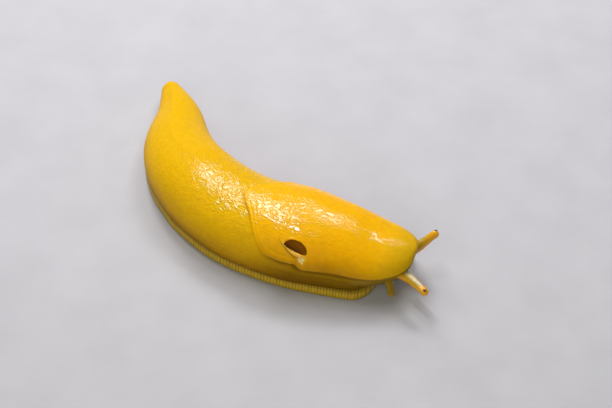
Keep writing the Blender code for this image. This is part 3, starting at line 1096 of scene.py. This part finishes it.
@dataclass(frozen=True)
class Palette:
    """Colours of the skin, as linear red, green and blue."""

    back: Colour = (0.76, 0.43, 0.003)
    mantle: Colour = (0.87, 0.44, 0.002)
    orange: Colour = (0.92, 0.40, 0.002)
    # Amber and umber darken the skin as painted shade; low on the flanks they also give its own
    # deeper colour
    amber: Colour = (0.40, 0.19, 0.003)
    umber: Colour = (0.13, 0.058, 0.002)
    olive: Colour = (0.44, 0.31, 0.008)
    fringe: Colour = (0.57, 0.36, 0.02)
    # Painted shade in the fringe's grooves and at its top under the trunk
    fringe_groove_shade: Colour = (0.10, 0.06, 0.006)
    sole: Colour = (0.36, 0.24, 0.015)
    lip: Colour = (0.90, 0.58, 0.09)
    # The eyestalks' pale grey top: partly their own greyish tone, partly a painted highlight
    stalk: Colour = (0.52, 0.45, 0.27)
    stalk_below: Colour = (0.76, 0.36, 0.006)
    feeler: Colour = (0.30, 0.19, 0.006)
    # Painted shade inside the breathing hole and the mouth's slit
    pocket: Colour = (0.34, 0.13, 0.006)
    froth: Colour = (0.96, 0.76, 0.30)


@dataclass(frozen=True)
class SkinPlaces:
    """Where the vertices of the skin lie, one value a vertex.

    `points` are in millimetres. `share` runs along the spine, and `angle` round the
    section. `low` is the angle up from the widest line of the nearer flank, `rim` the
    distance from the mantle's margin in millimetres, and `weights` how much of the
    faces round a vertex lies in each zone.
    """

    points: Array
    share: Array
    angle: Array
    low: Array
    rim: Array
    weights: dict[Zone, Array]


@dataclass(frozen=True)
class SkinPaint:
    """Colours of the skin, and where it is furrowed, grained, wet and veined."""

    plan: BodyPlan
    places: SkinPlaces
    palette: Palette = Palette()

    def coats(self, base: str, *coats: tuple[str, Array]) -> Array:
        """Lays colours over one another: base + (coat - base) * amount, coat by coat.

        Args:
            base: name of the first colour in the palette.
            coats: name of each colour laid over it, and its amount at each vertex.

        Returns:
            Linear colours of shape (vertices, 3).
        """
        colour = np.tile(getattr(self.palette, base), (len(self.places.share), 1))
        for name, amount in coats:
            over = np.array(getattr(self.palette, name))
            colour = colour + (over - colour) * np.clip(amount, 0, 1)[:, None]
        return colour

    def blotch(self) -> Array:
        """Soft unevenness, in radians round the section, that frays the shading."""
        return soft_noise(self.places.share * 22, self.places.angle * 3, 61) * 0.12

    def flank(self) -> Array:
        """Yellow back that deepens to amber and umber down the flank.

        The deepening down the flank is partly its own colour, partly painted shade. The neck
        turns olive, and painted shade darkens the lower flank under the mantle. An amber line
        of painted shade follows the groove at the mantle's rear edge, and a painted umber
        shadow lies under its side.

        Returns:
            Linear colours of shape (vertices, 3).
        """
        share, low, rim = self.places.share, self.places.low, self.places.rim
        return self.coats(
            "back",
            # Amber, then umber, low on the flank: partly its own deeper colour, partly painted
            # shade
            ("amber", 0.85 * ease(0.75, -0.75, low + self.blotch())),
            ("umber", 0.75 * ease(-0.35, -1.45, low)),
            ("olive", 0.7 * ease(0.80, 0.93, share)),
            # Painted shade on the lower flank under the mantle
            ("umber", 0.7 * ease(0.62, 0.75, share) * ease(0.5, -0.2, low)),
            # Painted shade: an amber line in the groove at the mantle's rear edge, and an umber
            # shadow under its side
            ("amber", 0.9 * hill(rim, 0, 0.45) * ease(0.70, 0.66, share)),
            ("umber", 0.8 * ease(2.8, 0.9, rim) * ease(0.66, 0.72, share)),
        )

    def mantle(self) -> Array:
        """Orange saddle, amber low down, olive at the hood.

        Amber low down is partly the mantle's own colour, partly painted shade. The lip of
        the breathing hole is pale and its crease dark with painted shade, and so is the
        underside of the hood.

        Returns:
            Linear colours of shape (vertices, 3).
        """
        share, low, blotch = self.places.share, self.places.low, self.blotch()
        x, y = Mantle(self.plan).hole_place(share, self.places.angle)
        off = Mantle(self.plan).hole_edge(x, y)
        below = ease(0.0, -0.8, y)
        margin = self.plan.margin_height(np.clip(share, 0.6, 1))
        shade_beneath = self.places.points[:, 2] < margin + 0.3
        return self.coats(
            "mantle",
            ("orange", 0.5 * hill(share + blotch * 0.2, 0.79, 0.07) * ease(1.1, 0.7, low)),
            # Amber low on the mantle: partly its own deeper colour, partly painted shade
            ("amber", 0.80 * ease(0.70, 0.12, low + blotch)),
            ("lip", 0.9 * hill(off, 0.60, 0.55) * below * ease(3.8, 2.6, x)),
            # Painted shade in the crease outside the breathing hole's lip
            ("umber", 0.45 * hill(off, 1.45, 0.24) * below * ease(1.6, 0.2, x)),
            ("olive", 0.6 * ease(0.88, 1.0, share + blotch * 0.1)),
            # Painted shade on the underside of the hood
            ("umber", 0.7 * shade_beneath * ease(0.80, 0.86, share)),
        )

    def head(self, flank: Array) -> Array:
        """Olive head that takes over from the flank at the neck.

        It is darkened by painted shade under the hood, most of all low down.

        Args:
            flank: colours of the flank.

        Returns:
            Linear colours of shape (vertices, 3).
        """
        # Painted shade under the hood over the olive head, darkest low down
        face = self.coats("olive", ("umber", 0.45 + 0.4 * ease(8.0, 4.0, self.places.points[:, 2])))
        return flank + (face - flank) * ease(0.90, 0.94, self.places.share)[:, None]

    def foot(self) -> Array:
        """Olive fringe and a paler sole.

        The fringe's grooves, and its top under the trunk, are darkened by painted shade.

        Returns:
            Linear colours of shape (vertices, 3).
        """
        up = self.places.points[:, 2]
        crest = Foot(self.plan).rib_crest(self.places.share)
        return self.coats(
            "fringe",
            # Painted shade in the rib grooves and at the fringe's top under the trunk
            ("fringe_groove_shade", 0.75 * ease(0.55, 0.0, crest) + 0.5 * ease(2.2, 2.9, up)),
            ("sole", ease(1.1, 0.7, up)),
        )

    def stalks(self) -> Array:
        """Eyestalks, olive at their sides and orange below and at the tips.

        Their pale grey top is partly their own greyish tone, partly a painted highlight.

        Returns:
            Linear colours of shape (vertices, 3).
        """
        side, tip = self.stalk_side()
        return self.coats(
            "stalk_below",
            ("olive", 0.7 * ease(0.1, 0.6, side) * ease(0.5, 2.2, tip)),
            # Pale grey top: partly the stalk's greyish tone, partly a painted highlight
            ("stalk", ease(0.80, 0.96, side) * ease(0.4, 1.6, tip)),
        )

    def stalk_side(self) -> tuple[Array, Array]:
        """Where vertices lie on the nearest eyestalk.

        Returns:
            Their height above its middle line as a share of their distance from it,
            and how far they are from its tip in millimetres.
        """
        points = self.places.points
        best = np.full(len(points), FAR)
        side, tip = np.zeros(len(points)), np.full(len(points), 9.0)
        for stalk in tentacles(self.plan):
            if stalk.zone is not Zone.STALK:
                continue
            line = stalk.centreline(np.linspace(0, 1, 40))
            for middle in line:
                gap = np.linalg.norm(points - middle, axis=1)
                closer = gap < best
                best = np.where(closer, gap, best)
                side = np.where(closer, (points[:, 2] - middle[2]) / np.maximum(gap, 0.2), side)
            tip = np.minimum(tip, np.linalg.norm(points - line[-1], axis=1) - 0.9)
        return side, tip

    def colours(self) -> Array:
        """Colour of each vertex, its zones' colours blended by their weights.

        Returns:
            Linear colours of shape (vertices, 3).
        """
        flank = self.flank()
        whole = {
            Zone.TRUNK: flank,
            Zone.MANTLE: self.mantle(),
            Zone.FOOT: self.foot(),
            Zone.HEAD: self.head(flank),
            Zone.STALK: self.stalks(),
            Zone.FEELER: self.coats("feeler"),
            # Painted shade inside the breathing hole and the mouth's slit
            Zone.POCKET: self.coats("pocket"),
            Zone.PIT: self.coats("froth"),
        }
        weights = self.places.weights
        return np.clip(sum(whole[zone] * weights[zone][:, None] for zone in Zone), 0, 1)

    def furrowed(self) -> Array:
        """How deep the finest furrows are: fainter on the tail and the mantle's sides.

        Returns:
            Strengths between 0 and 1.
        """
        share, weights = self.places.share, self.places.weights
        crown = ease(0.62, 0.95, self.places.low)
        trunk = ease(0.0, 0.03, share) * (0.35 + 0.65 * ease(0.15, 0.38, share))
        mantle = 0.75 * crown * ease(0.93, 0.84, share)
        return weights[Zone.TRUNK] * trunk + weights[Zone.MANTLE] * mantle

    def grained(self) -> Array:
        """How strong the fine grain is: full on the mantle, half on the head."""
        return self.places.weights[Zone.MANTLE] + 0.5 * self.places.weights[Zone.HEAD]

    def wet(self) -> Array:
        """How much mucus lies on the skin: most on the crown, little on the tail.

        A band along the mantle's rear edge is dry.

        Returns:
            Weights of the clear coat, between 0 and 1.
        """
        share, low, weights = self.places.share, self.places.low, self.places.weights
        trunk = 0.12 + 0.88 * ease(0.42, 0.47, share) * ease(0.2, 0.8, low)
        mantle = 0.03 + (0.17 + 0.8 * ease(0.36, 0.70, low)) * ease(0.86, 0.79, share)
        dry = 1 - 0.85 * hill(self.places.rim, 0, 1.2) * ease(0.70, 0.66, share)
        thin, thick = np.full(len(share), 0.4), np.ones(len(share))
        coat = {Zone.TRUNK: trunk * dry, Zone.MANTLE: mantle * dry}
        coat |= {Zone.FOOT: thin, Zone.HEAD: thin}
        return sum(coat.get(zone, thick) * weights[zone] for zone in Zone)

    def veined(self) -> Array:
        """Where the hood's wet lines run: on its top, short of its front."""
        share = self.places.share
        return self.places.weights[Zone.MANTLE] * ease(0.83, 0.87, share) * ease(0.98, 0.94, share)

    def write(self, mesh: bpy.types.Mesh) -> None:
        """Writes the colour, the furrows' coordinates and the strengths to the mesh.

        Args:
            mesh: the joined skin.
        """
        colour, share = self.colours(), self.places.share
        tint = mesh.attributes.new("skin_tint", "FLOAT_COLOR", "POINT")
        tint.data.foreach_set("color", np.column_stack([colour, np.ones(len(share))]).ravel())
        around = self.places.angle * Trunk(self.plan).girth
        flow = np.column_stack([share * self.plan.length, around, 0 * around])
        mesh.attributes.new("flow", "FLOAT_VECTOR", "POINT").data.foreach_set(
            "vector", flow.astype(np.float32).ravel()
        )
        for name in SKIN_STRENGTHS:
            layer = mesh.attributes.new(name, "FLOAT", "POINT")
            layer.data.foreach_set("value", getattr(self, name)().astype(np.float32))


@dataclass(frozen=True)
class Skin:
    """The one skin of the whole animal. The tail's pit is (share, up, radius)."""

    plan: BodyPlan
    pit: tuple[float, float, float] = (0.006, 5.9, 0.9)
    crease_angle: float = 70.0
    rim_end: float = 0.90
    rim_steps: int = 110

    def build(self) -> None:
        """Joins the shells, cuts the openings, and paints and dresses the skin."""
        plan = self.plan
        mantle, head = Mantle(plan), Head(plan)
        skin = Trunk(plan).shell().build()
        parts = [Foot(plan).shell(), mantle.shell(), head.shell(), *head.lips()]
        parts += mantle.froth()
        parts += [tentacle.shell() for tentacle in tentacles(plan)]
        combine(skin, [part.build() for part in parts], "UNION")
        cutters = [mantle.pocket(), head.slit(), self.tail_pit()]
        cutters += [Eye(side).socket() for side in SIDES]
        combine(skin, [cutter.build() for cutter in cutters], "DIFFERENCE")
        mesh = skin.data
        skin.name = mesh.name = "slug_skin"
        SkinPaint(plan, self.places(mesh)).write(mesh)
        mesh.shade_smooth()
        mesh.set_sharp_from_angle(angle=math.radians(self.crease_angle))
        mesh.materials.clear()
        mesh.materials.append(WetSkin().material())
        mesh.polygons.foreach_set("material_index", [0] * len(mesh.polygons))
        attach(skin, "root")
        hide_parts(*FLESH_NODES)
        mesh.calc_loop_triangles()
        LOG.info("skin: %d triangles", len(mesh.loop_triangles))

    def tail_pit(self) -> Shell:
        """The mucus pit at the tip of the tail.

        Returns:
            The cutter, a ball.
        """
        share, up, radius = self.pit
        rings = ball_rings(self.plan.point(share, 0, up), np.full(3, radius), rows=14, around=20)
        return Shell("pit", rings, Zone.PIT)

    def zone_weights(self, mesh: bpy.types.Mesh) -> dict[Zone, Array]:
        """How much of each vertex's faces lies in each zone.

        Args:
            mesh: the joined skin, its zones still in the material index.

        Returns:
            One weight a vertex for each zone.
        """
        corner_vert = np.empty(len(mesh.loops), int)
        mesh.loops.foreach_get("vertex_index", corner_vert)
        face_zone = np.empty(len(mesh.polygons), int)
        mesh.polygons.foreach_get("material_index", face_zone)
        face_corners = np.empty(len(mesh.polygons), int)
        mesh.polygons.foreach_get("loop_total", face_corners)
        corner_zone = np.repeat(face_zone, face_corners)
        count = len(mesh.vertices)
        total = np.maximum(np.bincount(corner_vert, minlength=count), 1)
        return {
            zone: np.bincount(corner_vert, corner_zone == zone.value, minlength=count) / total
            for zone in Zone
        }

    def places(self, mesh: bpy.types.Mesh) -> SkinPlaces:
        """Finds where the vertices lie on the body.

        Args:
            mesh: the joined skin, its zones still in the material index.

        Returns:
            The places of all vertices.
        """
        points = np.empty(len(mesh.vertices) * 3)
        mesh.vertices.foreach_get("co", points)
        points = points.reshape(-1, 3) / MM
        share, angle = self.plan.locate(points)
        low = np.minimum(angle, math.pi - angle)
        rim = self.rim_distance(share, angle)
        return SkinPlaces(points, share, angle, low, rim, self.zone_weights(mesh))

    def rim_distance(self, share: Array, angle: Array) -> Array:
        """How far places lie from the mantle's margin, over the skin.

        Args:
            share: shares of the spine.
            angle: angles round the section.

        Returns:
            Distances in millimetres.
        """
        near = np.full(len(share), FAR)
        right = angle < math.pi / 2
        low = np.minimum(angle, math.pi - angle)
        mantle = Mantle(self.plan)
        for at in np.linspace(self.plan.mantle_rear, self.rim_end, self.rim_steps):
            lift = mantle.margin_lift(at) / mantle.girth
            rim = self.plan.margin_angle(at) + np.where(right, lift, 0)
            gap = np.hypot((share - at) * self.plan.length, (low - rim) * mantle.girth)
            near = np.minimum(near, gap)
        return near


class Nodes:
    """A material's node tree, with short calls to add and join its nodes."""

    def __init__(self, name: str) -> None:
        """Starts a material with its Principled shader and output.

        Args:
            name: the material's name.
        """
        self.material = bpy.data.materials.new(name)
        self.material.use_nodes = True
        self.tree = self.material.node_tree
        self.shader = self.tree.nodes["Principled BSDF"]

    def add(self, kind: str, inputs: dict[str | int, object] | None = None,
            **settings: object) -> bpy.types.Node:
        """Adds a node.

        Args:
            kind: the node's type, without its ShaderNode prefix.
            inputs: a socket to link, or a value to set, for each input.
            settings: the node's own properties.

        Returns:
            The node.
        """
        node = self.tree.nodes.new(f"ShaderNode{kind}")
        for key, value in settings.items():
            setattr(node, key, value)
        for key, value in (inputs or {}).items():
            self.put(node, key, value)
        return node

    def put(self, node: bpy.types.Node, key: str | int, value: object) -> None:
        """Links a socket to an input of a node, or sets the input's value.

        Args:
            node: the node.
            key: name or number of its input.
            value: the socket or the value.
        """
        if isinstance(value, bpy.types.NodeSocket):
            self.tree.links.new(value, node.inputs[key])
        else:
            node.inputs[key].default_value = value

    def layer(self, name: str, output: str = "Fac") -> bpy.types.NodeSocket:
        """One output of an attribute of the mesh."""
        return self.add("Attribute", attribute_name=name).outputs[output]

    def noise(self, vector: object, scale: float, detail: float) -> bpy.types.Node:
        """A noise texture on some coordinates."""
        return self.add("TexNoise", {"Vector": vector, "Scale": scale, "Detail": detail})

    def cells(self, vector: object, scale: Point) -> bpy.types.NodeSocket:
        """Distance from the edges of cells, which are 1 / scale long, wide and high.

        Args:
            vector: the coordinates.
            scale: how they are multiplied.

        Returns:
            The distance, in scaled coordinates.
        """
        stretched = self.add("Mapping", {"Vector": vector, "Scale": scale}).outputs[0]
        inputs = {"Vector": stretched, "Scale": 1.0, "Randomness": 0.9}
        return self.add("TexVoronoi", inputs, feature="DISTANCE_TO_EDGE").outputs["Distance"]

    def math(self, operation: str, first: object, second: object = 0.0) -> bpy.types.NodeSocket:
        """Result of a Math node on two values or sockets."""
        return self.add("Math", {0: first, 1: second}, operation=operation).outputs[0]

    def ramp(self, value: object, low: float, high: float, start: float = 0.0,
             end: float = 1.0) -> bpy.types.NodeSocket:
        """Value mapped from low..high to start..end, and held within them."""
        inputs = {"Value": value, "From Min": low, "From Max": high, "To Min": start, "To Max": end}
        return self.add("MapRange", inputs).outputs["Result"]

    def shade(self, **values: object) -> None:
        """Sets the shader's own sockets, spaces written as underscores."""
        for key, value in values.items():
            self.put(self.shader, key.replace("_", " "), value)


@dataclass(frozen=True)
class WetSkin:
    """Finish of the living skin: soft flesh under a clear coat of mucus.

    Cells and grain are laid in the flow's millimetres, along the body and round it.
    """

    roughness: float = 0.45
    coat_roughness: float = 0.04
    flesh_depth: float = 0.9 * MM
    relief_depth: float = 0.14 * MM
    furrow_cells: Point = (0.44, 1.25, 1.0)
    vein_cells: Point = (0.24, 0.62, 1.0)
    grain_scale: Point = (0.9, 1.7, 1.0)
    stray: float = 2.2

    def material(self) -> bpy.types.Material:
        """Tint by place with fine mottling, and furrows and grain as bump.

        The coat lies thick on the crests of the furrows and thin between them, and in
        lines on the hood.

        Returns:
            The material.
        """
        nodes = Nodes("wet_skin")
        place = nodes.add("TexCoord").outputs["Object"]
        tone = nodes.ramp(nodes.noise(place, 620.0, 4.0).outputs["Fac"], 0.3, 0.7, 0.95, 1.05)
        inputs = {0: nodes.layer("skin_tint", "Color"), 1: tone}
        colour = nodes.add("VectorMath", inputs, operation="MULTIPLY").outputs[0]
        strayed = self.strayed_flow(nodes)
        crest = nodes.ramp(nodes.cells(strayed, self.furrow_cells), 0.02, 0.22)
        relief = self.relief(nodes, crest, place)
        lines = nodes.ramp(nodes.cells(strayed, self.vein_cells), 0.07, 0.02)
        veins = nodes.math("MULTIPLY", lines, nodes.layer("veined"))
        between = nodes.ramp(nodes.layer("furrowed"), 0.0, 0.6, 1.0, 0.18)
        filmed = nodes.math("MULTIPLY", nodes.layer("wet"), nodes.math("MAXIMUM", crest, between))
        nodes.shade(
            Base_Color=colour, Roughness=self.roughness, IOR=1.40, Specular_IOR_Level=0.05,
            Specular_Tint=(1.0, 0.6, 0.05, 1.0), Normal=self.bump(nodes, relief, 0.5),
            Coat_Weight=nodes.math("MAXIMUM", filmed, veins), Coat_Roughness=self.coat_roughness,
            Coat_IOR=1.5, Coat_Normal=self.bump(nodes, relief, 0.22), Subsurface_Weight=0.15,
            Subsurface_Radius=(1.0, 0.42, 0.06), Subsurface_Scale=self.flesh_depth,
        )
        return nodes.material

    def strayed_flow(self, nodes: Nodes) -> bpy.types.NodeSocket:
        """The flow's coordinates, moved about by a slow noise.

        Args:
            nodes: the material's nodes.

        Returns:
            Coordinates in millimetres, so that cells laid on them wander.
        """
        flow = nodes.layer("flow", "Vector")
        wander = nodes.noise(flow, 0.5, 1.0).outputs["Color"]
        moved = nodes.add("VectorMath", {0: wander, 3: self.stray}, operation="SCALE").outputs[0]
        return nodes.add("VectorMath", {0: flow, 1: moved}, operation="ADD").outputs[0]

    def relief(self, nodes: Nodes, crest: bpy.types.NodeSocket,
               place: bpy.types.NodeSocket) -> bpy.types.NodeSocket:
        """Height of the fine furrows, the grain and the pores.

        Args:
            nodes: the material's nodes.
            crest: height of the cells between the furrows.
            place: object coordinates.

        Returns:
            The height, about 1 at the most.
        """
        furrow = nodes.math("MULTIPLY", crest, nodes.layer("furrowed"))
        flow = nodes.layer("flow", "Vector")
        fine = nodes.add("Mapping", {"Vector": flow, "Scale": self.grain_scale}).outputs[0]
        grain = nodes.noise(fine, 1.0, 1.0).outputs["Fac"]
        grain = nodes.math("MULTIPLY", grain, nodes.layer("grained"))
        pores = nodes.math("MULTIPLY", nodes.noise(place, 2600.0, 2.0).outputs["Fac"], 0.05)
        height = nodes.math("ADD", furrow, nodes.math("MULTIPLY", grain, 0.5))
        return nodes.math("ADD", height, pores)

    def bump(self, nodes: Nodes, height: object, strength: float) -> bpy.types.NodeSocket:
        """Normal bent by a height that stands for `relief_depth` metres."""
        inputs = {"Height": height, "Strength": strength, "Distance": self.relief_depth}
        return nodes.add("Bump", inputs).outputs[0]


@dataclass(frozen=True)
class Eye:
    """A black eye, set in the knob of its stalk."""

    side: str
    room: float = 0.03

    def ball(self, name: str, grow: float, zone: Zone) -> Shell:
        """Ball round the space that the frame gives the eye.

        Args:
            name: the ball's name.
            grow: how far it stands off that space, in millimetres.
            zone: what its faces are.

        Returns:
            The ball.
        """
        low, high = (np.array(corner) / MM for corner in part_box(f"eye_{self.side}"))
        rings = ball_rings((low + high) / 2, (high - low) / 2 + grow, rows=24, around=32)
        return Shell(name, rings, zone)

    def socket(self) -> Shell:
        """Cutter for the hollow in the knob that the eye lies in."""
        return self.ball("socket", self.room, Zone.STALK)

    def build(self) -> None:
        """Ball that rides on the body and stands for the frame's eye."""
        eye = self.ball(f"eyeball_{self.side}", 0.0, Zone.PIT).build()
        eye.data.materials.clear()
        eye.data.materials.append(self.material())
        eye.data.shade_smooth()
        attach(eye, "root")
        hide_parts(f"eye_{self.side}")
        LOG.info("eye: %s", self.side)

    def material(self) -> bpy.types.Material:
        """Near black with a faint brown mottle under a clear, wet coat.

        Returns:
            The material.
        """
        nodes = Nodes(f"eye_{self.side}")
        place = nodes.add("TexCoord").outputs["Object"]
        noise = nodes.add("TexNoise", {"Vector": place, "Scale": 3000.0})
        tone = nodes.ramp(noise.outputs["Fac"], 0.3, 0.7, 0.006, 0.016)
        nodes.put(nodes.shader, "Base Color", tone)
        nodes.shade(Roughness=0.18, Coat_Weight=1.0, Coat_Roughness=0.12, Coat_IOR=1.6)
        return nodes.material


@dataclass(frozen=True)
class SoftLight:
    """A rectangular area light that faces the animal.

    It lies `away` metres off in the direction `toward`, its longer side along `along`
    made square to that direction. Its sides are in metres and its power in watts.
    """

    name: str
    toward: Point
    along: Point
    size: tuple[float, float]
    power: float
    away: float = 0.6
    tint: Colour = (0.98, 0.96, 1.05)
    aim: Point = (0.005, -0.005, 0.01)

    def build(self) -> bpy.types.Object:
        """Adds the light to the scene.

        Returns:
            The light, turned towards the animal.
        """
        data = bpy.data.lights.new(self.name, "AREA")
        data.shape, data.size, data.size_y = "RECTANGLE", *self.size
        data.energy, data.color = self.power, self.tint
        lamp = bpy.data.objects.new(self.name, data)
        way = Vector(self.toward).normalized()
        side = (Vector(self.along) - way * way.dot(Vector(self.along))).normalized()
        lamp.location = Vector(self.aim) + way * self.away
        lamp.rotation_euler = Matrix((side, way.cross(side), way)).transposed().to_euler()
        bpy.context.scene.collection.objects.link(lamp)
        return lamp


@dataclass(frozen=True)
class Studio:
    """Plain pale floor, soft light and the camera of the photograph."""

    floor_size: float = 6.0
    floor_tones: tuple[float, float] = (0.47, 0.51)
    boxes: tuple[SoftLight, ...] = (
        SoftLight("tall_box", (-0.42, 0.46, 0.71), (0, 0, 1), (0.50, 0.12), 1.95),
        SoftLight("low_box", (-0.22, 0.60, 0.72), (1, 0, 0), (0.22, 0.10), 0.55),
        SoftLight("strip", (-0.28, 0.065, 0.93), (0.40, -0.33, 0.15), (0.34, 0.025), 1.0),
        SoftLight("hood_box", (0.09, 0.62, 0.77), (1, 0, 0), (0.20, 0.16), 1.0),
    )
    fill: SoftLight = SoftLight(
        "fill", (0.05, -0.85, 0.50), (1, 0, 0), (1.2, 0.9), 5.5, 1.1, (1.0, 1.0, 0.94)
    )
    surround: tuple[float, float, float, float] = (1.0, 0.96, 0.82, 1)
    surround_strength: float = 0.14
    azimuth: float = 22.737
    elevation: float = 44.0
    target: Point = (8.357, -15.108, 8.0)
    distance: float = 476.0
    lens: float = 100.0
    sensor_width: float = 36.0
    frame_width: float = 612.0
    off_centre: tuple[float, float] = (16.0, 21.0)

    def floor(self) -> None:
        """Wide pale floor, faintly mottled."""
        bpy.ops.mesh.primitive_plane_add(size=self.floor_size)
        floor = bpy.context.object
        floor.name = "studio_floor"
        nodes = Nodes("pale_floor")
        place = nodes.add("TexCoord").outputs["Object"]
        noise = nodes.add("TexNoise", {"Vector": place, "Scale": 60.0, "Detail": 3.0})
        tone = nodes.ramp(noise.outputs["Fac"], 0.3, 0.7, *self.floor_tones)
        nodes.put(nodes.shader, "Base Color", tone)
        nodes.shade(Roughness=0.75)
        floor.data.materials.append(nodes.material)

    def light(self) -> None:
        """Soft boxes behind and over the hood, a strip, a broad fill and a surround.

        The fill brightens the near flank without a reflection of its own.
        """
        for box in self.boxes:
            box.build()
        self.fill.build().visible_glossy = False
        world = bpy.data.worlds.new("surround")
        world.use_nodes = True
        background = world.node_tree.nodes["Background"]
        background.inputs["Color"].default_value = self.surround
        background.inputs["Strength"].default_value = self.surround_strength
        bpy.context.scene.world = world
        bpy.context.scene.view_settings.view_transform = "Standard"

    def camera(self) -> None:
        """Camera at the photograph's angle, shifted a little for the same framing."""
        az, el = math.radians(self.azimuth), math.radians(self.elevation)
        toward = Vector((math.sin(az) * math.cos(el), -math.cos(az) * math.cos(el), math.sin(el)))
        data = bpy.data.cameras.new("camera")
        data.lens, data.sensor_width = self.lens, self.sensor_width
        data.shift_x, data.shift_y = (pixels / self.frame_width for pixels in self.off_centre)
        data.clip_start, data.clip_end = 0.01, 20.0
        camera = bpy.data.objects.new("camera", data)
        camera.location = (Vector(self.target) + toward * self.distance) * MM
        camera.rotation_euler = toward.to_track_quat("Z", "Y").to_euler()
        bpy.context.scene.collection.objects.link(camera)
        bpy.context.scene.camera = camera


def main() -> None:
    """Builds the slug round the frame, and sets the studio."""
    logging.basicConfig(level=logging.INFO)
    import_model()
    Skin(BodyPlan()).build()
    for side in SIDES:
        Eye(side).build()
    studio = Studio()
    studio.floor()
    studio.light()
    studio.camera()


if __name__ == "__main__":
    main()
